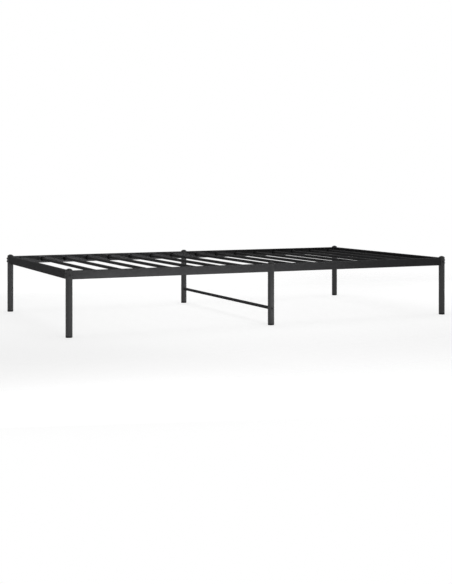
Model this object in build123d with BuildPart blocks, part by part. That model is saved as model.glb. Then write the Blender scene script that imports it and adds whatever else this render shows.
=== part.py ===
"""Low metal bed base that bolts together: round legs, rectangular rails and tubular slats.

+X runs along the bed, +Y across it towards the back and +Z up. The origin is on the floor, under the
middle of the bed. All sizes are in millimetres.
"""

import os

from build123d import *

# Overall layout
leg_spacing_x = 1950.0  # corner leg axis to corner leg axis, along the bed
leg_spacing_y = 1050.0  # leg axis to leg axis, across the bed
overall_height = 296.0  # floor to the top of a leg cap

# Legs, with a domed cap on top and a foot below
leg_diameter = 30.0
leg_wall = 1.5
cap_dome = 8.0  # height of the dome above the tube
cap_rim = 1.5  # straight edge below the dome
cap_spigot = 7.0  # plug inside the tube, ending above the upper bolt
cap_wall = 2.0
foot_height = 8.0  # flange between the floor and the tube
foot_spigot = 22.0
foot_wall = 2.5
foot_edge = 1.2

# Rails of rectangular tube, coped to the legs
rail_height = 38.0
rail_thickness = 20.0
rail_wall = 1.5
rail_corner = 3.0
least_corner = 0.2  # sharpest inside corner of a tube
rail_drop = 1.0  # rail top below the end of the leg tube

# Stubs on the middle legs, which carry the inner ends of the side rails
stub_length = 45.0
stub_wall = 1.5
stub_bolt_reach = 23.0  # leg surface to the bolt that holds the rail on its stub
stub_bolt_length = 12.0
stub_nut_width = 10.0
stub_nut_height = 5.0

# Slats of round tube and the plastic sockets that hold their ends
slat_diameter = 15.0
slat_wall = 1.0
slats_per_half = 8
slat_stub_gap = 5.1  # stub end to the nearest socket
slat_block_gap = 3.0  # threaded block to the nearest socket
slat_end_gap = 1.0  # slat end to the bottom of its socket
socket_wall = 1.2
socket_lip = 3.0  # flange beyond the sleeve, all round
socket_flange = 3.0
socket_edge = 0.8  # chamfer round the flange
socket_lead = 0.6  # chamfer that leads a slat into its socket
socket_end_gap = 2.0  # socket bottom to the far wall of the rail

# Cross bar between the middle legs
bar_diameter = 15.0
bar_wall = 1.2
bar_height = 79.0  # axis above the floor

# Bolts, saddle washers and the threaded blocks that they run into
bolt_diameter = 6.0
bolt_head_diameter = 10.5
bolt_head_height = 3.3
bolt_head_rim = 0.6
bolt_tip = 0.8  # chamfer at the end of the shank
bolt_tip_inset = 1.4  # shank end inside its threaded block
key_width = 4.0  # hexagon socket across its flats
key_depth = 2.0
bolt_pair = 14.0  # spacing of the two bolts of a side rail
washer_diameter = 12.5
washer_thickness = 1.2
block_length = 16.0
block_setback = 4.0  # leg surface to the near face of the block

# Clearances
saddle_gap = 0.1  # coped ends and saddle washers against a leg
slide_gap = 0.2  # pieces that slide into a tube or a hole, all round
thread_gap = 0.1  # threaded bores round a shank
hole_gap = 0.3  # drilled bolt holes round a shank

# Places worked out from the sizes above
half_length = leg_spacing_x / 2
half_width = leg_spacing_y / 2
leg_radius = leg_diameter / 2
saddle_radius = leg_radius + saddle_gap
tube_top = overall_height - cap_dome
rail_top = tube_top - rail_drop
rail_middle = rail_top - rail_height / 2
rail_inner_face = half_width - rail_thickness / 2
cavity_height = rail_height - 2 * rail_wall
cavity_thickness = rail_thickness - 2 * rail_wall
cavity_corner = rail_corner - rail_wall
core_height = cavity_height - 2 * slide_gap
core_thickness = cavity_thickness - 2 * slide_gap
block_start = saddle_radius + block_setback
block_end = block_start + block_length
head_seat = saddle_radius + washer_thickness
leg_bolt_length = head_seat + block_end - bolt_tip_inset
bolt_hole_radius = bolt_diameter / 2 + hole_gap
thread_radius = bolt_diameter / 2 + thread_gap
stub_end = leg_radius + stub_length
stub_bolt_x = leg_radius + stub_bolt_reach
slat_radius = slat_diameter / 2
socket_bore = slat_radius + slide_gap
socket_radius = socket_bore + socket_wall
socket_hole_radius = socket_radius + slide_gap
socket_depth = rail_thickness - rail_wall - socket_end_gap
slat_end = rail_inner_face + socket_depth - socket_wall - slat_end_gap
first_slat = stub_end + socket_radius + slat_stub_gap
last_slat = block_end + socket_radius + slat_block_gap
slat_pitch = (half_length - first_slat - last_slat) / (slats_per_half - 1)
slat_places = [first_slat + slat_pitch * step for step in range(slats_per_half)]

ends = {"left": -1, "right": 1}
sides = {"front": -1, "back": 1}
columns = {"left": -half_length, "middle": 0.0, "right": half_length}
up = Vector(0, 0, 1)

os.makedirs("parts", exist_ok=True)


def save(builder, name):
    """Label a finished piece and write it out."""
    builder.part.label = name
    export_step(builder.part, f"parts/{name}.step")


def facing(point, direction):
    """Upright plane at a point, with its normal along a level direction and its local Y axis up."""
    return Plane(origin=point, x_dir=up.cross(direction), z_dir=direction)


def lengthwise(point, direction):
    """Upright plane at a point, with its local X axis along a level direction and its local Y axis up."""
    return Plane(origin=point, x_dir=direction, z_dir=direction.cross(up))


# Bolted joints: the point on the leg's axis, the level direction into the joined piece,
# and the heights of the bolts above and below that point
pair_heights = (-bolt_pair / 2, bolt_pair / 2)
side_joints = []
end_joints = []
bar_joints = []
for side in sides.values():
    for end in ends.values():
        corner = Vector(end * half_length, side * half_width, rail_middle)
        side_joints.append((corner, Vector(-end, 0, 0), pair_heights))
        end_joints.append((corner, Vector(0, -side, 0), (0.0,)))
    bar_joints.append((Vector(0, side * half_width, bar_height), Vector(0, -side, 0), (0.0,)))
leg_joints = side_joints + end_joints + bar_joints


def tube_section(width, height, corner, wall):
    """Hollow rectangle with rounded corners, centred on the current sketch plane."""
    bore_corner = max(corner - wall, least_corner)
    RectangleRounded(width, height, corner)
    RectangleRounded(width - 2 * wall, height - 2 * wall, bore_corner, mode=Mode.SUBTRACT)


def cope(*leg_places):
    """Cut the saddles for the legs at these places out of the current part."""
    with Locations(*[(x, y, overall_height / 2) for x, y in leg_places]):
        Cylinder(saddle_radius, overall_height, mode=Mode.SUBTRACT)


def crown_radius(half_span, rise):
    """Radius of a circular crown of a given half span and rise."""
    return (half_span**2 + rise**2) / (2 * rise)


def make_bolt(length):
    """Button-head bolt on the Z axis: its head bears at the origin and its shank runs up."""
    head_radius = bolt_head_diameter / 2
    shank_radius = bolt_diameter / 2
    with BuildPart() as bolt:
        with BuildSketch(Plane.XZ):
            with BuildLine():
                RadiusArc(
                    (head_radius, -bolt_head_rim),
                    (0, -bolt_head_height),
                    crown_radius(head_radius, bolt_head_height - bolt_head_rim),
                )
                Polyline(
                    (0, -bolt_head_height),
                    (0, length),
                    (shank_radius - bolt_tip, length),
                    (shank_radius, length - bolt_tip),
                    (shank_radius, 0),
                    (head_radius, 0),
                    (head_radius, -bolt_head_rim),
                )
            make_face()
        revolve(axis=Axis.Z)
        with BuildSketch(Plane.XY.offset(-bolt_head_height)):
            RegularPolygon(key_width / 2, 6, major_radius=False)
        extrude(amount=key_depth, mode=Mode.SUBTRACT)
    return bolt.part


def make_leg(name, x, y):
    """Leg tube with holes for the bolts that run through it."""
    with BuildPart() as leg:
        with BuildSketch(Plane((x, y, foot_height))):
            Circle(leg_radius)
            Circle(leg_radius - leg_wall, mode=Mode.SUBTRACT)
        extrude(amount=tube_top - foot_height)
        for axis_point, direction, heights in leg_joints:
            if (axis_point.X, axis_point.Y) == (x, y):
                with BuildSketch(facing(axis_point, direction)):
                    with Locations(*[(0, height) for height in heights]):
                        Circle(bolt_hole_radius)
                extrude(amount=leg_diameter, both=True, mode=Mode.SUBTRACT)
    save(leg, name)


def make_cap(name, x, y):
    """Domed plastic cap with a hollow spigot that plugs the top of a leg."""
    spigot_radius = leg_radius - leg_wall - slide_gap
    with BuildPart() as cap:
        with BuildSketch(lengthwise(Vector(x, y, tube_top), Vector(1, 0, 0))):
            with BuildLine():
                RadiusArc((0, cap_dome), (leg_radius, cap_rim), crown_radius(leg_radius, cap_dome - cap_rim))
                Polyline(
                    (leg_radius, cap_rim),
                    (leg_radius, 0),
                    (spigot_radius, 0),
                    (spigot_radius, -cap_spigot),
                    (spigot_radius - cap_wall, -cap_spigot),
                    (spigot_radius - cap_wall, cap_rim),
                    (0, cap_rim),
                    (0, cap_dome),
                )
            make_face()
        revolve(axis=Axis((x, y, 0), (0, 0, 1)))
    save(cap, name)


def make_foot(name, x, y):
    """Plastic foot: a flange under the leg tube and a hollow spigot inside it."""
    spigot_radius = leg_radius - leg_wall - slide_gap
    with BuildPart() as foot:
        with BuildSketch(lengthwise(Vector(x, y, 0), Vector(1, 0, 0))):
            with BuildLine():
                Polyline(
                    (0, 0),
                    (leg_radius - foot_edge, 0),
                    (leg_radius, foot_edge),
                    (leg_radius, foot_height),
                    (spigot_radius, foot_height),
                    (spigot_radius, foot_height + foot_spigot),
                    (spigot_radius - foot_wall, foot_height + foot_spigot),
                    (spigot_radius - foot_wall, foot_wall),
                    (0, foot_wall),
                    close=True,
                )
            make_face()
        revolve(axis=Axis((x, y, 0), (0, 0, 1)))
    save(foot, name)


def make_side_rail(name, end, side):
    """Half of a side rail, coped at both ends, with socket holes in its inner wall."""
    inward = Vector(0, -side, 0)
    with BuildPart() as rail:
        with BuildSketch(facing(Vector(0, side * half_width, rail_middle), Vector(end, 0, 0))):
            tube_section(rail_thickness, rail_height, rail_corner, rail_wall)
        extrude(amount=half_length)
        cope((0, side * half_width), (end * half_length, side * half_width))
        for place in slat_places:
            with BuildSketch(facing(Vector(end * place, side * half_width, rail_middle), inward)):
                Circle(socket_hole_radius)
            extrude(amount=rail_thickness, mode=Mode.SUBTRACT)
        with BuildSketch(facing(Vector(end * stub_bolt_x, side * half_width, rail_middle), inward)):
            Circle(bolt_hole_radius)
        extrude(amount=rail_thickness, mode=Mode.SUBTRACT)
    save(rail, name)


def make_end_rail(name, end):
    """Rail across one end of the bed, coped to the two corner legs."""
    with BuildPart() as rail:
        with BuildSketch(facing(Vector(end * half_length, -half_width, rail_middle), Vector(0, 1, 0))):
            tube_section(rail_thickness, rail_height, rail_corner, rail_wall)
        extrude(amount=leg_spacing_y)
        cope((end * half_length, -half_width), (end * half_length, half_width))
    save(rail, name)


def make_rail_stub(name, end, side):
    """Stub on a middle leg that slides inside a side rail."""
    inward = Vector(0, -side, 0)
    with BuildPart() as stub:
        with BuildSketch(facing(Vector(0, side * half_width, rail_middle), Vector(end, 0, 0))):
            tube_section(core_thickness, core_height, cavity_corner, stub_wall)
        extrude(amount=stub_end)
        cope((0, side * half_width))
        with BuildSketch(facing(Vector(end * stub_bolt_x, side * half_width, rail_middle), inward)):
            Circle(bolt_hole_radius)
        extrude(amount=rail_thickness, mode=Mode.SUBTRACT)
    save(stub, name)


def make_slat(name, x):
    """Tubular slat from socket to socket."""
    with BuildPart() as slat:
        with BuildSketch(facing(Vector(x, 0, rail_middle), Vector(0, 1, 0))):
            Circle(slat_radius)
            Circle(slat_radius - slat_wall, mode=Mode.SUBTRACT)
        extrude(amount=slat_end, both=True)
    save(slat, name)


def make_slat_sockets(name, end, side):
    """Flanged plastic cups in the inner wall of one side rail, one for each slat end."""
    flange_radius = socket_radius + socket_lip
    outward = Vector(0, side, 0)
    with BuildPart() as sockets:
        for place in slat_places:
            mouth = Vector(end * place, side * rail_inner_face, rail_middle)
            with BuildSketch(lengthwise(mouth, outward)):
                with BuildLine():
                    Polyline(
                        (socket_lead - socket_flange, socket_bore),
                        (-socket_flange, socket_bore + socket_lead),
                        (-socket_flange, flange_radius - socket_edge),
                        (socket_edge - socket_flange, flange_radius),
                        (0, flange_radius),
                        (0, socket_radius),
                        (socket_depth, socket_radius),
                        (socket_depth, 0),
                        (socket_depth - socket_wall, 0),
                        (socket_depth - socket_wall, socket_bore),
                        close=True,
                    )
                make_face()
            revolve(axis=Axis(mouth, outward))
    save(sockets, name)


for side_name, side in sides.items():
    for column_name, column in columns.items():
        place_name = f"{side_name}_{column_name}"
        make_leg(f"leg_{place_name}", column, side * half_width)
        make_cap(f"leg_cap_{place_name}", column, side * half_width)
        make_foot(f"foot_{place_name}", column, side * half_width)
    for end_name, end in ends.items():
        place_name = f"{side_name}_{end_name}"
        make_side_rail(f"side_rail_{place_name}", end, side)
        make_rail_stub(f"rail_stub_{place_name}", end, side)
        make_slat_sockets(f"slat_sockets_{place_name}", end, side)

for end_name, end in ends.items():
    make_end_rail(f"end_rail_{end_name}", end)

slat_lines = sorted([-place for place in slat_places] + slat_places)
for number, slat_line in enumerate(slat_lines, start=1):
    make_slat(f"slat_{number:02d}", slat_line)

# Cross bar, coped to the two middle legs
with BuildPart() as cross_bar:
    with BuildSketch(facing(Vector(0, -half_width, bar_height), Vector(0, 1, 0))):
        Circle(bar_diameter / 2)
        Circle(bar_diameter / 2 - bar_wall, mode=Mode.SUBTRACT)
    extrude(amount=leg_spacing_y)
    cope((0, -half_width), (0, half_width))
save(cross_bar, "cross_bar")

# Threaded blocks inside the rail ends
for rail_name, joints in (("side_rail", side_joints), ("end_rail", end_joints)):
    with BuildPart() as blocks:
        for axis_point, direction, heights in joints:
            with BuildSketch(facing(axis_point + direction * block_start, direction)):
                RectangleRounded(core_thickness, core_height, cavity_corner)
                with Locations(*[(0, height) for height in heights]):
                    Circle(thread_radius, mode=Mode.SUBTRACT)
            extrude(amount=block_length)
    save(blocks, f"{rail_name}_nut_blocks")

# Threaded plugs inside the ends of the cross bar
with BuildPart() as bar_plugs:
    for axis_point, direction, heights in bar_joints:
        with BuildSketch(facing(axis_point + direction * block_start, direction)):
            Circle(bar_diameter / 2 - bar_wall - slide_gap)
            Circle(thread_radius, mode=Mode.SUBTRACT)
        extrude(amount=block_length)
save(bar_plugs, "cross_bar_plugs")

# Bolts through the legs, one set for each kind of joint
leg_bolt = make_bolt(leg_bolt_length)
for set_name, joints in (("side_rail", side_joints), ("end_rail", end_joints), ("cross_bar", bar_joints)):
    with BuildPart() as bolts:
        for axis_point, direction, heights in joints:
            heads = [axis_point - direction * head_seat + up * height for height in heights]
            with Locations(*[facing(head, direction) for head in heads]):
                add(leg_bolt)
    save(bolts, f"{set_name}_bolts")

# Saddle washers under the bolt heads, flat outside and hollowed to the leg inside
with BuildPart() as saddle_washers:
    for axis_point, direction, heights in leg_joints:
        with BuildSketch(facing(axis_point - direction * head_seat, direction)):
            with Locations(*[(0, height) for height in heights]):
                Circle(washer_diameter / 2)
                Circle(bolt_hole_radius, mode=Mode.SUBTRACT)
        extrude(amount=head_seat)
    cope(*[(column, side * half_width) for column in columns.values() for side in sides.values()])
save(saddle_washers, "saddle_washers")

# Bolts that hold the side rails on their stubs, and the nuts welded inside the stubs
stub_bolt = make_bolt(stub_bolt_length)
with BuildPart() as stub_bolts:
    for side in sides.values():
        for end in ends.values():
            head = Vector(end * stub_bolt_x, side * rail_inner_face, rail_middle)
            with Locations(facing(head, Vector(0, side, 0))):
                add(stub_bolt)
save(stub_bolts, "stub_bolts")

with BuildPart() as stub_nuts:
    for side in sides.values():
        for end in ends.values():
            nut_face = side * (rail_inner_face + rail_wall + slide_gap + stub_wall)
            with BuildSketch(facing(Vector(end * stub_bolt_x, nut_face, rail_middle), Vector(0, side, 0))):
                Rectangle(stub_nut_width, stub_nut_width)
                Circle(thread_radius, mode=Mode.SUBTRACT)
            extrude(amount=stub_nut_height)
save(stub_nuts, "stub_nuts")
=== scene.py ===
"""Metal bed base: finishes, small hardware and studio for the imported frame, laid out as a Blender add-on.

The frame is loaded first and stays fixed. Lengths are in metres, in the frame's own axes: +X along the
bed, +Y across it towards the back and +Z up, with the origin on the floor under the middle of the bed.
"""

import functools
import math
from typing import NamedTuple

import bmesh
import bpy
from bpy.props import FloatProperty, FloatVectorProperty, IntProperty, PointerProperty
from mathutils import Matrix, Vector


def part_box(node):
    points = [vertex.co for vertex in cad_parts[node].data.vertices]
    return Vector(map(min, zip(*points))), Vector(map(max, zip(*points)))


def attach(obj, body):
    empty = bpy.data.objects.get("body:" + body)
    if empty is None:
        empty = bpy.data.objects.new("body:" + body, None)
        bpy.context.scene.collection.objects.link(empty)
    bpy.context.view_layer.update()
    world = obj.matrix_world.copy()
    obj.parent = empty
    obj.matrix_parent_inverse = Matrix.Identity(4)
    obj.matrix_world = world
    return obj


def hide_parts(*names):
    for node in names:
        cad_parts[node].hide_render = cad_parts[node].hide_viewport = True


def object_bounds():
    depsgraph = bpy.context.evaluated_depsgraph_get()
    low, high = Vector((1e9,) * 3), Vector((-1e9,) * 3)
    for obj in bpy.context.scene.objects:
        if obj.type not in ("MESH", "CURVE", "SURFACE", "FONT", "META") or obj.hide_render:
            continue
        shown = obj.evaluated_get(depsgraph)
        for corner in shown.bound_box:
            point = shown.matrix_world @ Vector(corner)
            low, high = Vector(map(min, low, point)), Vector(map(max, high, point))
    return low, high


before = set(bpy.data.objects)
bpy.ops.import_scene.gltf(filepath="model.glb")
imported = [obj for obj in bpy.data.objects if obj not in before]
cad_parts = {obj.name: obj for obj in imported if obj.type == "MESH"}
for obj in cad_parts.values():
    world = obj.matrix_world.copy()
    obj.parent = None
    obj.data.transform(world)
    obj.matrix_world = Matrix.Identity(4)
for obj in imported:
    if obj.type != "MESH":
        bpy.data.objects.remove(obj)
cad_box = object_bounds()

bl_info = {
    "name": "Metal Bed Base",
    "version": (1, 0, 0),
    "blender": (4, 5, 0),
    "location": "3D View > Sidebar > Bed Base",
    "description": "Finishes, small hardware and studio for a bolted metal bed base",
    "category": "Object",
}

BODY = "root"
IMAGE_HEIGHT = 584
SENSOR = 36.0
WHITE = (1, 1, 1, 1)
UP = (0, 0, 1)
# Turn about X that makes a lamp or camera, which points down unturned, look level
LEVEL = math.pi / 2

# Fineness of the meshes: distances within which points merge, angle past which an edge is crisp, and steps
MERGE_DISTANCE = 1e-6
SLIVER_WIDTH = 5e-6
CREASE_ANGLE = math.radians(32)
FILLET_STEPS = 5
CAP_CROWN_STEPS = 12
BOLT_CROWN_STEPS = 8
HELIX_STEPS = 24
RIDGE_SIDES = 4
HEXAGON_SIDES = 6
FLOOR_SEGMENTS = 96
# Digits of a box's corners, in metres, that the order of solids goes by
ORDER_DIGITS = 5

# Floor mesh past the rim where the floor has faded out, as a multiple of its radius
FLOOR_MARGIN = 1.1
# Rounding of the lips of a spigot, as a share of its wall
LIP_ROUNDING = 0.25
# Ways that a bolt's shank runs
TO_MIDDLE, FROM_MIDDLE = -1, 1
# Largest share of a bolt's shank that is threaded
THREADED_SHARE = 0.7
# Height of the thread's ridge, as a share of the thread's depth
RIDGE_SHARE = 0.75
# Turns that the ridge lacks at its start, and in all
RIDGE_START = 0.5
RIDGE_RUNOUT = 1.5

# Ranges of the noises that become masks, and of the likeness between an edge's flat and rounded normals
CREST_RANGE = (0.36, 0.64)
CHIP_RANGE = (0.38, 0.62)
MARK_RANGE = (0.3, 0.7)
EDGE_RANGE = (0.995, 0.82)

# Steel pieces: width of the grain, middle roughness, metallic value, and how far the rubbed edges show
OXIDE_GRAIN = 0.0005
OXIDE_ROUGHNESS = 0.38
OXIDE_METAL = 0.35
OXIDE_RUB = 0.5
ZINC_GRAIN = 0.0008
ZINC_ROUGHNESS = 0.35

# Sockets, by number, of the Mix node for colours and of the Random Value node for numbers
MIX_FACTOR, MIX_FIRST, MIX_SECOND, MIX_RESULT = 0, 6, 7, 2
RANDOM_LEAST, RANDOM_MOST, RANDOM_RESULT = 2, 3, 1


# Places and sizes read from the frame


def named(*prefixes, without=()):
    """Names of the CAD nodes with one of some prefixes, in order, without those of another prefix."""
    wanted = (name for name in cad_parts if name.startswith(prefixes))
    return sorted(name for name in wanted if not name.startswith(without))


def solids_of(*nodes):
    """Boxes of the separate solids in some CAD nodes, as (low corner, high corner), in a steady order."""
    boxes = []
    for node in nodes:
        shape = bmesh.new()
        shape.from_mesh(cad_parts[node].data)
        bmesh.ops.remove_doubles(shape, verts=shape.verts, dist=MERGE_DISTANCE)
        waiting = set(shape.verts)
        while waiting:
            front = [waiting.pop()]
            low, high = front[0].co.copy(), front[0].co.copy()
            while front:
                vertex = front.pop()
                low = Vector(map(min, low, vertex.co))
                high = Vector(map(max, high, vertex.co))
                fresh = {edge.other_vert(vertex) for edge in vertex.link_edges} & waiting
                waiting -= fresh
                front.extend(fresh)
            boxes.append((low, high))
        shape.free()
    return sorted(boxes, key=lambda box: tuple(round(x, ORDER_DIGITS) for x in (*box[0], *box[1])))


def width_of(node, axis):
    """Size of a CAD node along the axis x, y or z."""
    low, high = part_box(node)
    return getattr(high, axis) - getattr(low, axis)


LEG_RADIUS = width_of("leg_front_left", "x") / 2
TUBE_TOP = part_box("leg_front_left")[1].z
TUBE_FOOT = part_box("leg_front_left")[0].z
CAP_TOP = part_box("leg_cap_front_left")[1].z
CAP_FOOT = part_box("leg_cap_front_left")[0].z
SPIGOT_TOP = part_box("foot_front_left")[1].z
SLAT_RADIUS = width_of("slat_01", "x") / 2
SOCKET_RADIUS = width_of("slat_sockets_front_left", "z") / 2
SOCKET_REACH = width_of("slat_sockets_front_left", "y")


# Settings that a user would change


def colour_setting(name, description, tone):
    """Setting for an opaque colour."""
    return FloatVectorProperty(
        name=name, description=description, subtype="COLOR", size=4, min=0, max=1, default=(*tone, 1))


def share_setting(name, description, share):
    """Setting for a share from 0 to 1."""
    return FloatProperty(name=name, description=description, subtype="FACTOR", min=0, max=1, default=share)


def length_setting(name, description, metres, **limits):
    """Setting for a length."""
    return FloatProperty(name=name, description=description, unit="LENGTH", default=metres, **limits)


def angle_setting(name, description, degrees):
    """Setting for an angle."""
    return FloatProperty(name=name, description=description, subtype="ANGLE", default=math.radians(degrees))


def place_setting(name, description, point):
    """Setting for a place."""
    return FloatVectorProperty(
        name=name, description=description, subtype="TRANSLATION", unit="LENGTH", size=3, default=point)


class BedFinishSettings(bpy.types.PropertyGroup):
    """Colours and surface sizes of the finishes."""

    rail_colour: colour_setting(
        "Rail Colour", "Matte black of the rails and the cross bar", (0.025, 0.025, 0.0257))
    rail_light: colour_setting(
        "Rail Light Tone", "Lighter tone in the speckle and along the edges of the rails",
        (0.055, 0.055, 0.0567))
    rail_roughness: share_setting("Rail Roughness", "Middle roughness of the coat on the rails", 0.75)
    rail_gloss: share_setting("Rail Gloss", "Specular level of the coat on the rails", 0.015)
    leg_colour: colour_setting("Leg Colour", "Satin black of the legs", (0.006, 0.006, 0.0062))
    leg_light: colour_setting(
        "Leg Light Tone", "Lighter tone in the speckle and along the edges of the legs",
        (0.023, 0.023, 0.0237))
    leg_roughness: share_setting("Leg Roughness", "Middle roughness of the coat on the legs", 0.6)
    leg_gloss: share_setting("Leg Gloss", "Specular level of the coat on the legs", 0.52)
    slat_colour: colour_setting("Slat Colour", "Black of the tubular slats", (0.0175, 0.0175, 0.018))
    slat_light: colour_setting(
        "Slat Light Tone", "Lighter tone in the speckle and along the edges of the slats",
        (0.037, 0.037, 0.0381))
    slat_roughness: share_setting("Slat Roughness", "Middle roughness of the coat on the slats", 0.65)
    slat_gloss: share_setting("Slat Gloss", "Specular level of the coat on the slats", 0.03)
    coat_grain: length_setting(
        "Coat Grain", "Width of one bump in the powder coat's fine texture", 0.0011, min=0.0001)
    cap_colour: colour_setting("Cap Colour", "Black of the caps and feet", (0.008, 0.008, 0.0082))
    cap_light: colour_setting(
        "Cap Light Tone", "Lighter tone in the plastic of the caps and feet", (0.013, 0.013, 0.0132))
    cap_gloss: share_setting("Cap Gloss", "Specular level of the caps and feet", 0.22)
    # Painted shade: the sockets' plastic is made darker than that of the caps, so that the black stands in
    # for the shadow round each slat end on the rail's inner wall
    socket_colour: colour_setting(
        "Socket Colour", "Deep black of the slat sockets", (0.003, 0.003, 0.0031))
    socket_light: colour_setting(
        "Socket Light Tone", "Lighter tone in the plastic of the slat sockets", (0.0055, 0.0055, 0.0056))
    socket_gloss: share_setting("Socket Gloss", "Specular level of the slat sockets", 0.04)
    plastic_roughness: share_setting("Plastic Roughness", "Middle roughness of the moulded plastic", 0.58)
    plastic_grain: length_setting(
        "Plastic Grain", "Width of one bump in the moulded texture", 0.0006, min=0.0001)
    oxide_colour: colour_setting("Oxide Colour", "Black of the bolts and washers", (0.014, 0.014, 0.015))
    oxide_worn: colour_setting(
        "Oxide Worn Tone", "Steel on the rubbed edges of bolts and washers", (0.09, 0.088, 0.085))
    zinc_colour: colour_setting(
        "Zinc Colour", "Plated blocks, plugs and nuts inside the tubes", (0.55, 0.55, 0.54))
    zinc_dull: colour_setting("Zinc Dull Tone", "Clouded patches of the zinc", (0.40, 0.40, 0.40))


class BedHardwareSettings(bpy.types.PropertyGroup):
    """Sizes of the caps, feet, sockets and bolts that are not in the frame's boxes."""

    turn_segments: IntProperty(
        name="Turn Segments", description="Flat steps round a turned piece", min=12, default=72)
    cap_rim: length_setting("Cap Rim", "Straight edge of a cap below its dome", 0.0015)
    cap_rim_rounding: length_setting("Cap Rim Rounding", "Radius where the dome meets the rim", 0.0016)
    cap_wall: length_setting("Cap Wall", "Wall of a cap's spigot", 0.002)
    foot_wall: length_setting("Foot Wall", "Wall of a foot's spigot", 0.0025)
    foot_rounding: length_setting("Foot Rounding", "Radius of a foot's lower edge", 0.0018)
    tube_wall: length_setting("Leg Wall", "Wall of a leg tube", 0.0015)
    slide_gap: length_setting("Sliding Gap", "Gap round a piece that slides into a tube", 0.0002)
    socket_flange: length_setting("Socket Flange", "Thickness of a socket's flange", 0.003)
    socket_wall: length_setting("Socket Wall", "Wall of a socket's sleeve", 0.0012)
    socket_rounding: length_setting("Socket Rounding", "Radius of the flange's outer edge", 0.0012)
    bolt_head_diameter: length_setting("Bolt Head Diameter", "Across a bolt's domed head", 0.0105)
    bolt_head_height: length_setting("Bolt Head Height", "Height of a bolt's domed head", 0.0033)
    bolt_head_rim: length_setting("Bolt Head Rim", "Straight edge under the dome", 0.0006)
    bolt_diameter: length_setting("Bolt Diameter", "Across a bolt's thread", 0.006)
    thread_pitch: length_setting("Thread Pitch", "Height of one turn of a bolt's thread", 0.001)
    thread_depth: length_setting("Thread Depth", "Depth of a bolt's thread", 0.0006)
    key_width: length_setting("Key Width", "Hexagon socket across its flats", 0.004)
    key_depth: length_setting("Key Depth", "Depth of the hexagon socket", 0.002)
    leg_bolt_length: length_setting("Leg Bolt Length", "Shank of a bolt through a leg", 0.05)
    stub_bolt_length: length_setting("Stub Bolt Length", "Shank of a bolt into a rail stub", 0.012)
    thread_length: length_setting("Thread Length", "Threaded part of a shank", 0.018)
    turn_seed: IntProperty(
        name="Bolt Seed", description="Seed of the angles at which the bolts came to rest", default=7)


def lamp_power(lamp, watts):
    """Setting for the power of a lamp."""
    return FloatProperty(
        name=lamp + " Power", description="Power of the " + lamp.lower(), subtype="POWER", min=0,
        default=watts)


def lamp_place(lamp, point):
    """Setting for the place of a lamp."""
    return place_setting(lamp + " Place", "Middle of the " + lamp.lower(), point)


def lamp_bearing(lamp, degrees):
    """Setting for the level direction in which a standing lamp shines."""
    description = "Level direction of the " + lamp.lower() + ", turned from +Y towards -X"
    return angle_setting(lamp + " Bearing", description, degrees)


def lamp_spread(lamp, degrees):
    """Setting for the beam angle of a lamp with a grid."""
    return angle_setting(lamp + " Spread", "Beam angle of the grid on the " + lamp.lower(), degrees)


def lamp_size(lamp, sides):
    """Setting for the two sides of a lamp."""
    return FloatVectorProperty(
        name=lamp + " Size", description="Width and height of the " + lamp.lower(), unit="LENGTH", size=2,
        default=sides)


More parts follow.
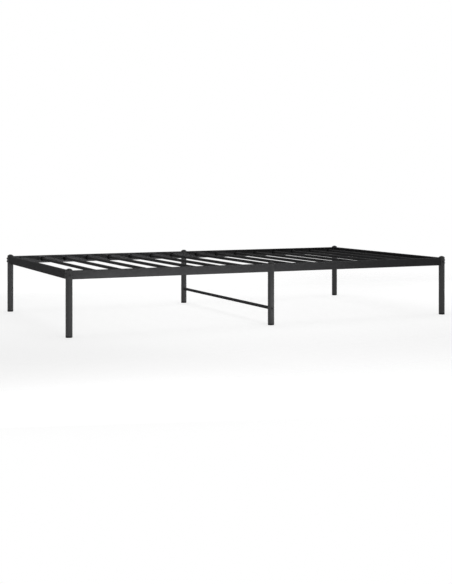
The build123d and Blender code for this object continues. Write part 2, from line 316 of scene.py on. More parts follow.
class BedStageSettings(bpy.types.PropertyGroup):
    """Camera, lamps and floor."""

    camera_place: place_setting("Camera Place", "Camera position", (-2.2818, -4.8959, 0.6433))
    camera_bearing: angle_setting(
        "Camera Bearing", "Level direction of view, turned from +Y towards +X", 25.121)
    camera_lens: FloatProperty(
        name="Lens", description="Focal length in millimetres", min=1, default=64.94)
    horizon_row: FloatProperty(
        name="Horizon Row", description="Row of the picture, from its top, at which the horizon lies",
        default=187.4)
    floor_colour: colour_setting("Floor Colour", "Pale floor", (0.84, 0.84, 0.84))
    floor_shade: share_setting(
        "Floor Shade", "Share of the floor's own light and shadow that the camera sees", 0.45)
    floor_glow: FloatProperty(
        name="Floor Glow", description="White that the camera sees added to the floor", min=0, max=1,
        default=0.73)
    floor_bounce: share_setting(
        "Floor Bounce", "Share of the floor's light that falls back on the bed", 0.25)
    floor_border: length_setting("Floor Border", "Solid floor round the bed", 0.3)
    floor_fade: length_setting("Floor Fade", "Distance over which the floor then fades out", 1.6)
    ambient: FloatProperty(
        name="Ambient", description="Light from the room on the object", min=0, default=0.02)
    overhead_spread: lamp_spread("Ceiling Panel", 90)
    overhead_power: lamp_power("Ceiling Panel", 23)
    overhead_place: lamp_place("Ceiling Panel", (0.6, 0.3, 2.8))
    overhead_size: lamp_size("Ceiling Panel", (3.6, 2.8))
    key_power: lamp_power("Softbox", 4.2)
    key_spread: lamp_spread("Softbox", 60)
    key_place: lamp_place("Softbox", (0.32, -1.75, 0.8))
    key_bearing: lamp_bearing("Softbox", 31)
    key_size: lamp_size("Softbox", (1.1, 1.2))
    low_power: lamp_power("Low Strip", 2)
    low_spread: lamp_spread("Low Strip", 14)
    low_place: lamp_place("Low Strip", (0.5, -1.75, 0.04))
    low_bearing: lamp_bearing("Low Strip", 27)
    low_tilt: angle_setting(
        "Low Strip Tilt", "Upward tilt of the low strip, which shines under the near rail", 2.6)
    low_size: lamp_size("Low Strip", (1.5, 0.06))
    front_power: lamp_power("Front Strip", 31.5)
    front_place: lamp_place("Front Strip", (-0.6, -2.4, 0.13))
    front_bearing: lamp_bearing("Front Strip", -17)
    front_size: lamp_size("Front Strip", (2.4, 0.22))
    left_power: lamp_power("Left Strip", 8.1)
    left_place: lamp_place("Left Strip", (-2.4, 0, 0.262))
    left_bearing: lamp_bearing("Left Strip", -90)
    left_size: lamp_size("Left Strip", (1.8, 0.05))
    back_power: lamp_power("Back Strip", 32)
    back_place: lamp_place("Back Strip", (0, 2.4, 0.2))
    back_bearing: lamp_bearing("Back Strip", 180)
    back_size: lamp_size("Back Strip", (2.4, 0.1))
    right_power: lamp_power("Right Strip", 9.5)
    right_place: lamp_place("Right Strip", (2.4, 0, 0.262))
    right_bearing: lamp_bearing("Right Strip", 90)
    right_size: lamp_size("Right Strip", (1.8, 0.05))


# Node trees


def place(tree, kind, inputs=None, **settings):
    """Add a node, set its own settings, then set or link its inputs, given by name or number."""
    node = tree.nodes.new(kind)
    for key, value in settings.items():
        setattr(node, key, value)
    for key, value in (inputs or {}).items():
        if isinstance(value, bpy.types.NodeSocket):
            tree.links.new(value, node.inputs[key])
        else:
            node.inputs[key].default_value = value
    return node


def calculate(tree, operation, first, second):
    """Result of a Math node on two values."""
    return place(tree, "ShaderNodeMath", {0: first, 1: second}, operation=operation).outputs[0]


def new_group(name, kind, inputs, outputs):
    """Start a node group with sockets given as name and type. Returns the tree and its two end nodes."""
    tree = bpy.data.node_groups.new(name, kind)
    for in_out, sockets in (("INPUT", inputs), ("OUTPUT", outputs)):
        for label, socket in sockets.items():
            tree.interface.new_socket(label, in_out=in_out, socket_type="NodeSocket" + socket)
    return tree, tree.nodes.new("NodeGroupInput"), tree.nodes.new("NodeGroupOutput")


def built_once(build):
    """Build a node group when it is first asked for, and name it after the function that builds it."""
    name = build.__name__.replace("_", " ").title()

    @functools.wraps(build)
    def group():
        return bpy.data.node_groups.get(name) or build(name)

    return group


# Surface effects shared by the finishes


def noise(tree, start, width, detail, roughness, distortion=0.0):
    """Noise at a group's Position, with features of the width that the named input gives."""
    scale = calculate(tree, "DIVIDE", 1.0, start.outputs[width])
    return place(tree, "ShaderNodeTexNoise", {
        "Vector": start.outputs["Position"], "Scale": scale, "Detail": detail, "Roughness": roughness,
        "Distortion": distortion}).outputs["Fac"]


def stretch(tree, value, ends):
    """Remap a value between two ends to 0 to 1."""
    return place(tree, "ShaderNodeMapRange", {
        "Value": value, "From Min": ends[0], "From Max": ends[1]}).outputs["Result"]


def spread(tree, value, low, high):
    """Remap a 0 to 1 value to a range."""
    return place(tree, "ShaderNodeMapRange", {
        "Value": value, "To Min": low, "To Max": high}).outputs["Result"]


@built_once
def surface_grain(name):
    """Fine bumps, and a speckle of the bumps and a slower mottle for the colour."""
    tree, start, end = new_group(
        name, "ShaderNodeTree", {"Position": "Vector", "Bump Width": "Float", "Mottle Width": "Float"},
        {"Height": "Float", "Speckle": "Float"})
    bumps = noise(tree, start, "Bump Width", detail=2.0, roughness=0.55)
    mottle = noise(tree, start, "Mottle Width", detail=3.0, roughness=0.6)
    both = calculate(tree, "ADD", stretch(tree, bumps, CREST_RANGE), mottle)
    tree.links.new(bumps, end.inputs["Height"])
    tree.links.new(calculate(tree, "MULTIPLY", both, 0.5), end.inputs["Speckle"])
    return tree


@built_once
def edge_wear(name):
    """Mask of the edges that hands and tools rub, broken up by noise, and a normal that rounds them."""
    tree, start, end = new_group(
        name, "ShaderNodeTree", {"Position": "Vector", "Edge Width": "Float", "Patch Width": "Float"},
        {"Mask": "Float", "Normal": "Vector"})
    bevel = place(tree, "ShaderNodeBevel", {"Radius": start.outputs["Edge Width"]}, samples=4)
    flat = place(tree, "ShaderNodeNewGeometry")
    likeness = place(tree, "ShaderNodeVectorMath", {
        0: bevel.outputs["Normal"], 1: flat.outputs["Normal"]}, operation="DOT_PRODUCT")
    edge = stretch(tree, likeness.outputs["Value"], EDGE_RANGE)
    chips = stretch(tree, noise(tree, start, "Patch Width", detail=4.0, roughness=0.65), CHIP_RANGE)
    tree.links.new(calculate(tree, "MULTIPLY", edge, chips), end.inputs["Mask"])
    tree.links.new(bevel.outputs["Normal"], end.inputs["Normal"])
    return tree


@built_once
def handling_marks(name):
    """Wide, faint patches where a surface has been wiped and handled."""
    tree, start, end = new_group(
        name, "ShaderNodeTree", {"Position": "Vector", "Patch Width": "Float"}, {"Mask": "Float"})
    patches = noise(tree, start, "Patch Width", detail=5.0, roughness=0.6, distortion=0.6)
    tree.links.new(stretch(tree, patches, MARK_RANGE), end.inputs["Mask"])
    return tree


# Finishes


class Texture(NamedTuple):
    """Fixed numbers of a finish.

    Widths of its mottle and of its handled patches, half the range of its roughness, strength and depth of
    its bump, and where its edges are worn, widths of those edges and of the chips along them.
    """

    mottle: float
    patch: float
    swing: float
    strength: float
    depth: float
    edge: float = 0
    chip: float = 0


COAT_TEXTURE = Texture(
    mottle=0.02, patch=0.16, swing=0.05, strength=0.5, depth=0.0003, edge=0.0007, chip=0.012)
PLASTIC_TEXTURE = Texture(mottle=0.008, patch=0.03, swing=0.06, strength=0.3, depth=0.0001)
OXIDE_TEXTURE = Texture(
    mottle=0.004, patch=0.012, swing=0.08, strength=0.15, depth=0.0001, edge=0.0003, chip=0.003)
ZINC_TEXTURE = Texture(mottle=0.006, patch=0.02, swing=0.07, strength=0.1, depth=0.0001)


def start_material(name):
    """New material with its node tree, Principled shader and Object coordinates."""
    material = bpy.data.materials.new(name)
    material.use_nodes = True
    tree = material.node_tree
    position = place(tree, "ShaderNodeTexCoord").outputs["Object"]
    return material, tree, tree.nodes["Principled BSDF"], position


def start_finish(name, texture, grain_width, roughness):
    """Material with its roughness and bump. Returns it with its tree, shader and masks for its colour."""
    material, tree, shader, position = start_material(name)
    grain = place(tree, "ShaderNodeGroup", {
        "Position": position, "Bump Width": grain_width, "Mottle Width": texture.mottle},
        node_tree=surface_grain())
    marks = place(tree, "ShaderNodeGroup", {
        "Position": position, "Patch Width": texture.patch}, node_tree=handling_marks())
    bump = place(tree, "ShaderNodeBump", {
        "Strength": texture.strength, "Distance": texture.depth, "Height": grain.outputs["Height"]})
    masks = {"speckle": grain.outputs["Speckle"]}
    if texture.edge:
        wear = place(tree, "ShaderNodeGroup", {
            "Position": position, "Edge Width": texture.edge, "Patch Width": texture.chip},
            node_tree=edge_wear())
        tree.links.new(wear.outputs["Normal"], bump.inputs["Normal"])
        masks["worn"] = wear.outputs["Mask"]
    handled = spread(tree, marks.outputs["Mask"], roughness - texture.swing, roughness + texture.swing)
    tree.links.new(handled, shader.inputs["Roughness"])
    tree.links.new(bump.outputs["Normal"], shader.inputs["Normal"])
    return material, tree, shader, masks


def blend_colours(tree, factor, first, second):
    """Mix of two colours by a varying factor."""
    mix = place(tree, "ShaderNodeMix", {
        MIX_FACTOR: factor, MIX_FIRST: first, MIX_SECOND: second}, data_type="RGBA")
    return mix.outputs[MIX_RESULT]


def powder_coat(finish, name, piece):
    """Black powder coat of one kind of piece: a fine baked texture, a faint speckle and paler edges."""
    dark, light = getattr(finish, piece + "_colour"), getattr(finish, piece + "_light")
    roughness = getattr(finish, piece + "_roughness")
    material, tree, shader, masks = start_finish(name, COAT_TEXTURE, finish.coat_grain, roughness)
    speckled = blend_colours(tree, masks["speckle"], dark, light)
    tree.links.new(blend_colours(tree, masks["worn"], speckled, light), shader.inputs["Base Color"])
    shader.inputs["Specular IOR Level"].default_value = getattr(finish, piece + "_gloss")
    return material


def moulded_plastic(finish, name, piece):
    """Black moulded plastic of one kind of piece, with a fine spark texture."""
    dark, light = getattr(finish, piece + "_colour"), getattr(finish, piece + "_light")
    material, tree, shader, masks = start_finish(
        name, PLASTIC_TEXTURE, finish.plastic_grain, finish.plastic_roughness)
    tree.links.new(blend_colours(tree, masks["speckle"], dark, light), shader.inputs["Base Color"])
    shader.inputs["Specular IOR Level"].default_value = getattr(finish, piece + "_gloss")
    return material


def black_oxide(finish, name):
    """Blackened steel of the bolts and washers, rubbed along its edges."""
    material, tree, shader, masks = start_finish(name, OXIDE_TEXTURE, OXIDE_GRAIN, OXIDE_ROUGHNESS)
    rubbed = calculate(tree, "MULTIPLY", masks["worn"], OXIDE_RUB)
    colour = blend_colours(tree, rubbed, finish.oxide_colour, finish.oxide_worn)
    tree.links.new(colour, shader.inputs["Base Color"])
    shader.inputs["Metallic"].default_value = OXIDE_METAL
    return material


def zinc_plate(finish, name):
    """Bright zinc of the threaded pieces inside the tubes."""
    material, tree, shader, masks = start_finish(name, ZINC_TEXTURE, ZINC_GRAIN, ZINC_ROUGHNESS)
    colour = blend_colours(tree, masks["speckle"], finish.zinc_colour, finish.zinc_dull)
    tree.links.new(colour, shader.inputs["Base Color"])
    shader.inputs["Metallic"].default_value = 1.0
    return material


FINISHES = {
    "rail_coat": (powder_coat, "Rail Coat", "rail"),
    "leg_coat": (powder_coat, "Leg Coat", "leg"),
    "slat_coat": (powder_coat, "Slat Coat", "slat"),
    "cap_plastic": (moulded_plastic, "Cap Plastic", "cap"),
    # Socket plastic: black moulded plastic, with a darker colour than the caps' that is painted shade round
    # the slat ends
    "socket_plastic": (moulded_plastic, "Socket Plastic", "socket"),
    "black_oxide": (black_oxide, "Black Oxide"),
    "zinc_plate": (zinc_plate, "Zinc Plate"),
}


def finish_for(label, context):
    """Material of one finish, made when it is first asked for."""
    for material in bpy.data.materials:
        if material.get("bed_base_finish") == label:
            return material
    build, *words = FINISHES[label]
    material = build(context.scene.bed_base_finish, *words)
    material["bed_base_finish"] = label
    return material


def dress(nodes, label, context):
    """Give CAD nodes their finish, in the material slot that they came with."""
    for node in nodes:
        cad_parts[node].material_slots[0].material = finish_for(label, context)


# Geometry node trees that turn a profile and set it out


@built_once
def turned_solid(name):
    """Node group: rounds the corners of a profile and turns it round the Z axis into a closed solid."""
    tree, start, end = new_group(
        name, "GeometryNodeTree", {"Profile": "Geometry", "Segments": "Int", "Path Radius": "Float"},
        {"Solid": "Geometry"})
    line = place(tree, "GeometryNodeMeshToCurve", {"Mesh": start.outputs["Profile"]})
    rounding = place(tree, "GeometryNodeInputNamedAttribute", {"Name": "rounding"}, data_type="FLOAT")
    rounded = place(tree, "GeometryNodeFilletCurve", {
        "Curve": line.outputs["Curve"], "Count": FILLET_STEPS, "Radius": rounding.outputs["Attribute"],
        "Limit Radius": True}, mode="POLY")
    inset = calculate(tree, "MULTIPLY", start.outputs["Path Radius"], -1.0)
    shift = place(tree, "ShaderNodeCombineXYZ", {"X": inset})
    beside = place(tree, "GeometryNodeSetPosition", {
        "Geometry": rounded.outputs["Curve"], "Offset": shift.outputs["Vector"]})
    path = place(tree, "GeometryNodeCurvePrimitiveCircle", {
        "Resolution": start.outputs["Segments"], "Radius": start.outputs["Path Radius"]})
    swept = place(tree, "GeometryNodeCurveToMesh", {
        "Curve": path.outputs["Curve"], "Profile Curve": beside.outputs["Geometry"]})
    closed = place(tree, "GeometryNodeMergeByDistance", {
        "Geometry": swept.outputs["Mesh"], "Distance": MERGE_DISTANCE})
    tree.links.new(closed.outputs["Geometry"], end.inputs["Solid"])
    return tree


def turn_profile(tree, start):
    """Solid turned from the profile that a tree is given."""
    inputs = {label: start.outputs[label] for label in ("Profile", "Segments", "Path Radius")}
    return place(tree, "GeometryNodeGroup", inputs, node_tree=turned_solid()).outputs["Solid"]


def shade_by_angle(tree, mesh):
    """Smooth shading that stays crisp on the sharp edges."""
    smooth = place(tree, "GeometryNodeSetShadeSmooth", {
        "Geometry": mesh, "Shade Smooth": True}, domain="FACE")
    angle = place(tree, "GeometryNodeInputMeshEdgeAngle")
    sharp = place(tree, "FunctionNodeCompare", {
        "A": angle.outputs["Unsigned Angle"], "B": CREASE_ANGLE},
        data_type="FLOAT", operation="GREATER_THAN")
    crisp = place(tree, "GeometryNodeSetShadeSmooth", {
        "Geometry": smooth.outputs["Geometry"], "Selection": sharp.outputs["Result"],
        "Shade Smooth": False}, domain="EDGE")
    return crisp.outputs["Geometry"]


def set_out(tree, start, end, solid, rotation_after=None):
    """Put a copy of a solid at every place, facing as the place says, and finish the tree."""
    places = place(tree, "GeometryNodeObjectInfo", {"Object": start.outputs["Places"]})
    facing = place(tree, "GeometryNodeInputNamedAttribute", {"Name": "facing"}, data_type="FLOAT_VECTOR")
    rotation = place(tree, "FunctionNodeAlignRotationToVector", {
        "Vector": facing.outputs["Attribute"]}, axis="Z")
    turned = rotation.outputs["Rotation"]
    if rotation_after:
        spun = place(tree, "FunctionNodeRotateRotation", {
            "Rotation": turned, "Rotate By": rotation_after}, rotation_space="LOCAL")
        turned = spun.outputs["Rotation"]
    copies = place(tree, "GeometryNodeInstanceOnPoints", {
        "Points": places.outputs["Geometry"], "Instance": solid, "Rotation": turned})
    real = place(tree, "GeometryNodeRealizeInstances", {"Geometry": copies.outputs["Instances"]})
    coated = place(tree, "GeometryNodeSetMaterial", {
        "Geometry": real.outputs["Geometry"], "Material": start.outputs["Material"]})
    tree.links.new(coated.outputs["Geometry"], end.inputs["Geometry"])


SET_INPUTS = {
    "Profile": "Geometry", "Places": "Object", "Material": "Material", "Segments": "Int",
    "Path Radius": "Float"}
BOLT_LENGTHS = (
    "Head Height", "Key Radius", "Key Depth", "Thread Radius", "Thread Height", "Thread Start",
    "Thread Length")


@built_once
def turned_set(name):
    """Tree for caps, feet and sockets: one profile, turned and copied to every place."""
    tree, start, end = new_group(name, "GeometryNodeTree", SET_INPUTS, {"Geometry": "Geometry"})
    set_out(tree, start, end, shade_by_angle(tree, turn_profile(tree, start)))
    return tree


@built_once
def bolt_set(name):
    """Tree for bolts: a turned blank with a rolled thread and a hexagon socket, copied to every place."""
    inputs = {**SET_INPUTS, **dict.fromkeys(BOLT_LENGTHS, "Float"), "Thread Turns": "Float", "Seed": "Int"}
    tree, start, end = new_group(name, "GeometryNodeTree", inputs, {"Geometry": "Geometry"})

    helix = place(tree, "GeometryNodeCurveSpiral", {
        "Resolution": HELIX_STEPS, "Rotations": start.outputs["Thread Turns"],
        "Start Radius": start.outputs["Thread Radius"], "End Radius": start.outputs["Thread Radius"],
        "Height": start.outputs["Thread Length"]})
    ridge = place(tree, "GeometryNodeCurvePrimitiveCircle", {
        "Resolution": RIDGE_SIDES, "Radius": start.outputs["Thread Height"]})
    thread = place(tree, "GeometryNodeCurveToMesh", {
        "Curve": helix.outputs["Curve"], "Profile Curve": ridge.outputs["Curve"], "Fill Caps": True})
    lift = place(tree, "ShaderNodeCombineXYZ", {"Z": start.outputs["Thread Start"]})
    raised = place(tree, "GeometryNodeTransform", {
        "Geometry": thread.outputs["Mesh"], "Translation": lift.outputs["Vector"]})
    threaded = place(tree, "GeometryNodeMeshBoolean", operation="UNION", solver="EXACT")
    tree.links.new(turn_profile(tree, start), threaded.inputs["Mesh 2"])
    tree.links.new(raised.outputs["Geometry"], threaded.inputs["Mesh 2"])

    # The hexagon's middle lies in the top of the head, so half of it cuts
    twice = calculate(tree, "MULTIPLY", start.outputs["Key Depth"], 2.0)
    hexagon = place(tree, "GeometryNodeMeshCylinder", {
        "Vertices": HEXAGON_SIDES, "Radius": start.outputs["Key Radius"], "Depth": twice})
    crown = calculate(tree, "MULTIPLY", start.outputs["Head Height"], -1.0)
    drop = place(tree, "ShaderNodeCombineXYZ", {"Z": crown})
    cutter = place(tree, "GeometryNodeTransform", {
        "Geometry": hexagon.outputs["Mesh"], "Translation": drop.outputs["Vector"]})
    keyed = place(tree, "GeometryNodeMeshBoolean", {
        "Mesh 1": threaded.outputs["Mesh"], "Mesh 2": cutter.outputs["Geometry"]},
        operation="DIFFERENCE", solver="EXACT")
    clean = place(tree, "GeometryNodeMergeByDistance", {
        "Geometry": keyed.outputs["Mesh"], "Distance": SLIVER_WIDTH})

    rest = place(tree, "FunctionNodeRandomValue", {
        RANDOM_LEAST: 0.0, RANDOM_MOST: math.tau, "Seed": start.outputs["Seed"]}, data_type="FLOAT")
    spin = place(tree, "FunctionNodeAxisAngleToRotation", {
        "Axis": UP, "Angle": rest.outputs[RANDOM_RESULT]})
    set_out(tree, start, end, shade_by_angle(tree, clean.outputs["Geometry"]), spin.outputs["Rotation"])
    return tree


def profile_mesh(name, corners):
    """Open profile as a mesh line. A corner is (distance from the axis, height, rounding), top first."""
    mesh = bpy.data.meshes.new(name)
    points = [(radius, -height, 0) for radius, height, rounding in corners]
    mesh.from_pydata(points, [(i, i + 1) for i in range(len(points) - 1)], [])
    rounding = mesh.attributes.new("rounding", "FLOAT", "POINT")
    rounding.data.foreach_set("value", [corner[2] for corner in corners])
    return mesh


def places_mesh(name, places):
    """Loose points with the direction that each one faces, given as (point, direction)."""
    mesh = bpy.data.meshes.new(name)
    mesh.from_pydata([point for point, direction in places], [], [])
    facing = mesh.attributes.new("facing", "FLOAT_VECTOR", "POINT")
    facing.data.foreach_set("vector", [x for point, direction in places for x in direction])
    return mesh


def add_object(name, data, context):
    """New object in the scene."""
    item = bpy.data.objects.new(name, data)
    context.scene.collection.objects.link(item)
    return item


def build_set(name, tree, corners, places, values, context):
    """Run a tree on a profile and a list of places, and return the result as a plain mesh object."""
    points = add_object(name + "_places", places_mesh(name + "_places", places), context)
    source = add_object(name + "_source", profile_mesh(name, corners), context)
    modifier = source.modifiers.new(tree.name, "NODES")
    modifier.node_group = tree
    values = {"Places": points, **values}
    for socket in tree.interface.items_tree:
        if socket.in_out == "INPUT" and socket.name in values:
            modifier[socket.identifier] = values[socket.name]
    graph = context.evaluated_depsgraph_get()
    mesh = bpy.data.meshes.new_from_object(source.evaluated_get(graph), depsgraph=graph)
    for helper in (source, points):
        data = helper.data
        bpy.data.objects.remove(helper)
        bpy.data.meshes.remove(data)
    mesh.name = name
    return add_object(name, mesh, context)


def seat(piece, nodes):
    """Ride a finished piece on the frame in place of its CAD nodes."""
    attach(piece, BODY)
    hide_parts(*nodes)


def make_plastic(name, nodes, corners, places, radius, segments, finish, context):
    """Turn a plastic piece from its profile, copy it to its places and seat the set."""
    piece = build_set(name, turned_set(), corners, places, {
        "Material": finish_for(finish, context), "Segments": segments, "Path Radius": radius}, context)
    seat(piece, nodes)


def leg_places(nodes, height):
    """Points at one height on the axes of the legs that hold some CAD nodes, facing up."""
    middles = [(low + high) / 2 for low, high in solids_of(*nodes)]
    return [((middle.x, middle.y, height), UP) for middle in middles]


def crown_points(half_span, rise, steps):
    """Points of a round crown from its rim to just short of its pole, as (distance to the axis, rise)."""
    radius = (half_span ** 2 + rise ** 2) / (2 * rise)
    sweep = math.asin(half_span / radius)
    angles = [sweep * (1 - step / steps) for step in range(steps)]
    return [(radius * math.sin(a), radius * math.cos(a) - radius + rise) for a in angles]


def bolt_places(nodes, length, way):
    """Seats of the bolts in some CAD nodes, with the direction of each shank, to or from the middle."""
    places = []
    for low, high in solids_of(*nodes):
        size, middle = high - low, (low + high) / 2
        axis = max(range(3), key=lambda i: size[i])
        direction = Vector((0, 0, 0))
        direction[axis] = math.copysign(1, middle[axis]) * way
        tip = middle + direction * size[axis] / 2
        places.append((tip - direction * length, direction))
    return places


# Operators


class BED_OT_legs(bpy.types.Operator):
    """Coat the six leg tubes"""

    bl_idname = "bed_base.legs"
    bl_label = "Legs"

    def execute(self, context):
        dress(named("leg_", without="leg_cap"), "leg_coat", context)
        return {"FINISHED"}


class BED_OT_rails(bpy.types.Operator):
    """Coat the side rails, their stubs and the end rails"""

    bl_idname = "bed_base.rails"
    bl_label = "Rails"

    def execute(self, context):
        rails = named("side_rail_front", "side_rail_back", "end_rail_left", "end_rail_right", "rail_stub")
        dress(rails, "rail_coat", context)
        return {"FINISHED"}


class BED_OT_slats(bpy.types.Operator):
    """Coat the tubular slats and the cross bar"""

    bl_idname = "bed_base.slats"
    bl_label = "Slats and Cross Bar"

    def execute(self, context):
        dress(named("slat_", without="slat_sockets"), "slat_coat", context)
        dress(["cross_bar"], "rail_coat", context)
        return {"FINISHED"}


class BED_OT_caps(bpy.types.Operator):
    """Turn the domed caps and plug them into the tops of the legs"""

    bl_idname = "bed_base.caps"
    bl_label = "Leg Caps"

    def execute(self, context):
        sizes = context.scene.bed_base_hardware
        nodes = named("leg_cap")
        rim, wall = sizes.cap_rim, sizes.cap_wall
        dome, depth = CAP_TOP - TUBE_TOP, CAP_FOOT - TUBE_TOP
        spigot = LEG_RADIUS - sizes.tube_wall - sizes.slide_gap
        arc = crown_points(LEG_RADIUS, dome - rim, CAP_CROWN_STEPS)
        corners = [(0, dome, 0)]
        corners += [(radius, rim + rise, 0) for radius, rise in reversed(arc[1:])]
        corners += [
            (LEG_RADIUS, rim, sizes.cap_rim_rounding),
            (LEG_RADIUS, 0, 0),
            (spigot, 0, 0),
            (spigot, depth, wall * LIP_ROUNDING),
            (spigot - wall, depth, wall * LIP_ROUNDING),
            (spigot - wall, rim, 0),
            (0, rim, 0),
        ]
        make_plastic(
            "leg_caps", nodes, corners, leg_places(nodes, TUBE_TOP), LEG_RADIUS, sizes.turn_segments,
            "cap_plastic", context)
        return {"FINISHED"}


class BED_OT_feet(bpy.types.Operator):
    """Turn the plastic feet and plug them into the bottoms of the legs"""

    bl_idname = "bed_base.feet"
    bl_label = "Feet"

    def execute(self, context):
        sizes = context.scene.bed_base_hardware
        nodes = named("foot_")
        wall = sizes.foot_wall
        spigot = LEG_RADIUS - sizes.tube_wall - sizes.slide_gap
        corners = [
            (0, wall, 0),
            (spigot - wall, wall, 0),
            (spigot - wall, SPIGOT_TOP, wall * LIP_ROUNDING),
            (spigot, SPIGOT_TOP, wall * LIP_ROUNDING),
            (spigot, TUBE_FOOT, 0),
            (LEG_RADIUS, TUBE_FOOT, 0),
            (LEG_RADIUS, 0, sizes.foot_rounding),
            (0, 0, 0),
        ]
        make_plastic(
            "leg_feet", nodes, corners, leg_places(nodes, 0), LEG_RADIUS, sizes.turn_segments,
            "cap_plastic", context)
        return {"FINISHED"}


class BED_OT_sockets(bpy.types.Operator):
    """Turn the slat sockets and set them in the inner walls of the side rails"""

    bl_idname = "bed_base.sockets"
    bl_label = "Slat Sockets"

    def execute(self, context):
        sizes = context.scene.bed_base_hardware
        nodes = named("slat_sockets")
        flange, wall = sizes.socket_flange, sizes.socket_wall
        places = []
        for low, high in solids_of(*nodes):
            middle = (low + high) / 2
            side = math.copysign(1, middle.y)
            mouth = min(abs(low.y), abs(high.y)) + flange
            places.append(((middle.x, side * mouth, middle.z), (0, side, 0)))
        depth = SOCKET_REACH - flange
        bore = SLAT_RADIUS + sizes.slide_gap
        sleeve = bore + wall
        corners = [
            (0, depth, 0),
            (sleeve, depth, 0),
            (sleeve, 0, 0),
            (SOCKET_RADIUS, 0, 0),
            (SOCKET_RADIUS, -flange, sizes.socket_rounding),
            (bore, -flange, sizes.socket_rounding / 2),
            (bore, depth - wall, 0),
            (0, depth - wall, 0),
        ]
        # The sockets take the darker plastic, whose colour paints the shade round the slat ends
        make_plastic(
            "socket_set", nodes, corners, places, SOCKET_RADIUS, sizes.turn_segments // 2,
            "socket_plastic", context)
        return {"FINISHED"}


class BED_OT_bolts(bpy.types.Operator):
    """Make the button-head bolts of the legs and of the rail stubs"""

    bl_idname = "bed_base.bolts"
    bl_label = "Bolts"

    def execute(self, context):
        sizes = context.scene.bed_base_hardware
        leg_nodes = ["side_rail_bolts", "end_rail_bolts", "cross_bar_bolts"]
        self.make("leg_bolt_set", leg_nodes, sizes.leg_bolt_length, TO_MIDDLE, context)
        self.make("stub_bolt_set", ["stub_bolts"], sizes.stub_bolt_length, FROM_MIDDLE, context)
        return {"FINISHED"}

    def make(self, name, nodes, length, way, context):
        """One set of bolts of equal length."""
        sizes = context.scene.bed_base_hardware
        depth, pitch, rim = sizes.thread_depth, sizes.thread_pitch, sizes.bolt_head_rim
        radius, head = sizes.bolt_diameter / 2, sizes.bolt_head_diameter / 2
        root = radius - depth
        thread = min(sizes.thread_length, length * THREADED_SHARE)
        turns = thread / pitch - RIDGE_RUNOUT
        neck = length - thread
        arc = crown_points(head, sizes.bolt_head_height - rim, BOLT_CROWN_STEPS)
        corners = [
            (0, length, 0),
            (root - depth, length, 0),
            (root, length - depth, 0),
            (root, neck, 0),
            (radius, neck - depth, 0),
            (radius, 0, 0),
            (head, 0, 0),
            (head, -rim, rim / 2),
        ]
        corners += [(distance, -rim - rise, 0) for distance, rise in arc[1:]]
        corners.append((0, -sizes.bolt_head_height, 0))
        piece = build_set(name, bolt_set(), corners, bolt_places(nodes, length, way), {
            "Material": finish_for("black_oxide", context), "Segments": sizes.turn_segments // 2,
            "Path Radius": head, "Head Height": sizes.bolt_head_height, "Key Depth": sizes.key_depth,
            "Key Radius": sizes.key_width / 2 / math.cos(math.pi / HEXAGON_SIDES),
            "Thread Radius": root, "Thread Height": depth * RIDGE_SHARE,
            "Thread Start": neck + pitch * RIDGE_START, "Thread Length": turns * pitch,
            "Thread Turns": turns, "Seed": sizes.turn_seed}, context)
        seat(piece, nodes)


class BED_OT_washers(bpy.types.Operator):
    """Blacken the saddle washers"""

    bl_idname = "bed_base.washers"
    bl_label = "Saddle Washers"

    def execute(self, context):
        dress(["saddle_washers"], "black_oxide", context)
        return {"FINISHED"}


class BED_OT_nuts(bpy.types.Operator):
    """Plate the threaded blocks, plugs and nuts inside the tubes"""

    bl_idname = "bed_base.nuts"
    bl_label = "Threaded Blocks and Nuts"

    def execute(self, context):
        nodes = ["side_rail_nut_blocks", "end_rail_nut_blocks", "cross_bar_plugs", "stub_nuts"]
        dress(nodes, "zinc_plate", context)
        return {"FINISHED"}


def seen_directly(tree):
    """1 for rays from the camera and those that mirror or pass on the view, 0 for those that only light."""
    rays = place(tree, "ShaderNodeLightPath").outputs
    mirrored = calculate(tree, "MAXIMUM", rays["Is Camera Ray"], rays["Is Glossy Ray"])
    return calculate(tree, "MAXIMUM", mirrored, rays["Is Transmission Ray"])


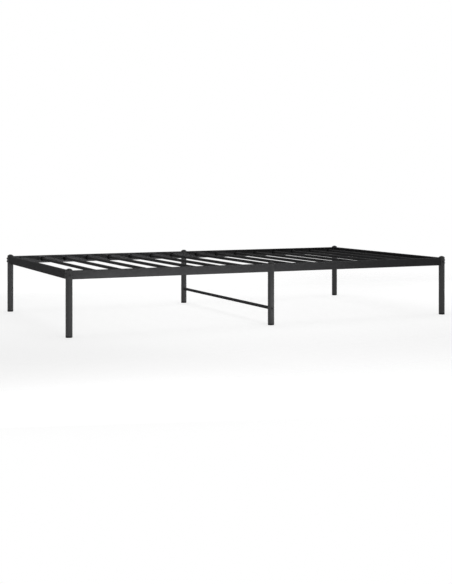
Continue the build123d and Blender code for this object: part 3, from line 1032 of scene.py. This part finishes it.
class BED_OT_stage(bpy.types.Operator):
    """Set the floor, the lamps, the room light and the camera"""

    bl_idname = "bed_base.stage"
    bl_label = "Stage"

    def execute(self, context):
        stage = context.scene.bed_base_stage
        self.floor(stage, context)
        self.lamp("overhead", (0, 0, 0), stage, context)
        self.lamp("low", (LEVEL + stage.low_tilt, 0, stage.low_bearing), stage, context)
        for name in ("key", "front", "left", "back", "right"):
            self.lamp(name, (LEVEL, 0, getattr(stage, name + "_bearing")), stage, context)
        for name in ("overhead", "key", "low"):
            bpy.data.lights[name + "_lamp"].spread = getattr(stage, name + "_spread")
        self.room(stage, context)
        self.camera(stage, context)
        context.scene.view_settings.view_transform = "Standard"
        return {"FINISHED"}

    def floor(self, stage, context):
        """Round pale floor that fades out into the white room."""
        corner = cad_box[1]
        reach = max(corner.x, corner.y) + stage.floor_border + stage.floor_fade
        shape = bmesh.new()
        bmesh.ops.create_circle(shape, cap_ends=True, segments=FLOOR_SEGMENTS, radius=reach * FLOOR_MARGIN)
        mesh = bpy.data.meshes.new("floor")
        shape.to_mesh(mesh)
        shape.free()
        mesh.materials.append(self.floor_material(stage, corner))
        floor = add_object("floor", mesh, context)

    def floor_material(self, stage, corner):
        """Matt pale floor, solid round the bed and clear at its rim."""
        material, tree, shader, position = start_material("Pale Floor")
        shader.inputs["Base Color"].default_value = stage.floor_colour
        shader.inputs["Roughness"].default_value = 1.0
        shader.inputs["Specular IOR Level"].default_value = 0.0
        side = place(tree, "ShaderNodeVectorMath", {0: position}, operation="ABSOLUTE")
        past = place(tree, "ShaderNodeVectorMath", {
            0: side.outputs["Vector"], 1: (corner.x, corner.y, 0)}, operation="SUBTRACT")
        outside = place(tree, "ShaderNodeVectorMath", {
            0: past.outputs["Vector"], 1: (0, 0, 0)}, operation="MAXIMUM")
        distance = place(tree, "ShaderNodeVectorMath", {0: outside.outputs["Vector"]}, operation="LENGTH")
        fade = place(tree, "ShaderNodeMapRange", {
            "Value": distance.outputs["Value"], "From Min": stage.floor_border,
            "From Max": stage.floor_border + stage.floor_fade}, interpolation_type="SMOOTHSTEP")
        seen = seen_directly(tree)
        share = spread(tree, seen, stage.floor_bounce, stage.floor_shade)
        shaded = place(tree, "ShaderNodeMixShader", {0: share, 2: shader.outputs["BSDF"]})
        glow = calculate(tree, "MULTIPLY", seen, stage.floor_glow)
        white = place(tree, "ShaderNodeEmission", {"Color": WHITE, "Strength": glow})
        lit = place(tree, "ShaderNodeAddShader", {
            0: shaded.outputs["Shader"], 1: white.outputs["Emission"]})
        clear = place(tree, "ShaderNodeBsdfTransparent")
        mix = place(tree, "ShaderNodeMixShader", {
            0: fade.outputs["Result"], 1: lit.outputs["Shader"], 2: clear.outputs["BSDF"]})
        tree.links.new(mix.outputs["Shader"], tree.nodes["Material Output"].inputs["Surface"])
        return material

    def lamp(self, name, turn, stage, context):
        """Flat rectangular lamp that shows neither to the camera nor in the gloss of the finishes."""
        lamp = bpy.data.lights.new(name + "_lamp", "AREA")
        lamp.shape = "RECTANGLE"
        lamp.size, lamp.size_y = getattr(stage, name + "_size")
        lamp.energy = getattr(stage, name + "_power")
        panel = add_object(name + "_lamp", lamp, context)
        panel.location = getattr(stage, name + "_place")
        panel.rotation_euler = turn
        panel.visible_camera = False
        panel.visible_glossy = False

    def room(self, stage, context):
        """White room to look at, with a dimmer even light on the object."""
        world = bpy.data.worlds.new("White Room")
        world.use_nodes = True
        context.scene.world = world
        tree = world.node_tree
        light = tree.nodes["Background"]
        light.inputs["Color"].default_value = WHITE
        light.inputs["Strength"].default_value = stage.ambient
        white = place(tree, "ShaderNodeBackground", {"Color": WHITE, "Strength": 1.0})
        mix = place(tree, "ShaderNodeMixShader", {
            0: seen_directly(tree), 1: light.outputs["Background"], 2: white.outputs["Background"]})
        tree.links.new(mix.outputs["Shader"], tree.nodes["World Output"].inputs["Surface"])

    def camera(self, stage, context):
        """Level camera at the photograph's viewpoint, with the horizon where the photograph has it."""
        lens = bpy.data.cameras.new("camera")
        lens.sensor_width = SENSOR
        lens.lens = stage.camera_lens
        lens.shift_y = (stage.horizon_row - IMAGE_HEIGHT / 2) / IMAGE_HEIGHT
        camera = add_object("camera", lens, context)
        camera.location = stage.camera_place
        camera.rotation_euler = (LEVEL, 0, -stage.camera_bearing)
        context.scene.camera = camera


class BED_PT_panel(bpy.types.Panel):
    """Sidebar panel with the settings and the pieces"""

    bl_idname = "BED_PT_panel"
    bl_label = "Bed Base"
    bl_space_type = "VIEW_3D"
    bl_region_type = "UI"
    bl_category = "Bed Base"

    def draw(self, context):
        layout = self.layout
        for settings in SETTINGS:
            group = getattr(context.scene, settings)
            column = layout.column(align=True)
            for label in group.__annotations__:
                column.prop(group, label)
        for operator in OPERATORS:
            layout.operator(operator.bl_idname)


SETTINGS = {
    "bed_base_finish": BedFinishSettings,
    "bed_base_hardware": BedHardwareSettings,
    "bed_base_stage": BedStageSettings,
}
OPERATORS = (
    BED_OT_legs, BED_OT_rails, BED_OT_slats, BED_OT_caps, BED_OT_feet,
    BED_OT_sockets, BED_OT_bolts, BED_OT_washers, BED_OT_nuts, BED_OT_stage)


def register():
    for settings, group in SETTINGS.items():
        bpy.utils.register_class(group)
        setattr(bpy.types.Scene, settings, PointerProperty(type=group))
    for item in (*OPERATORS, BED_PT_panel):
        bpy.utils.register_class(item)


def unregister():
    for item in reversed((*OPERATORS, BED_PT_panel)):
        bpy.utils.unregister_class(item)
    for settings, group in reversed(SETTINGS.items()):
        delattr(bpy.types.Scene, settings)
        bpy.utils.unregister_class(group)


def main():
    register()
    bpy.ops.bed_base.legs()
    bpy.ops.bed_base.rails()
    bpy.ops.bed_base.slats()
    bpy.ops.bed_base.caps()
    bpy.ops.bed_base.feet()
    bpy.ops.bed_base.sockets()
    bpy.ops.bed_base.bolts()
    bpy.ops.bed_base.washers()
    bpy.ops.bed_base.nuts()
    bpy.ops.bed_base.stage()


if __name__ == "__main__":
    main()
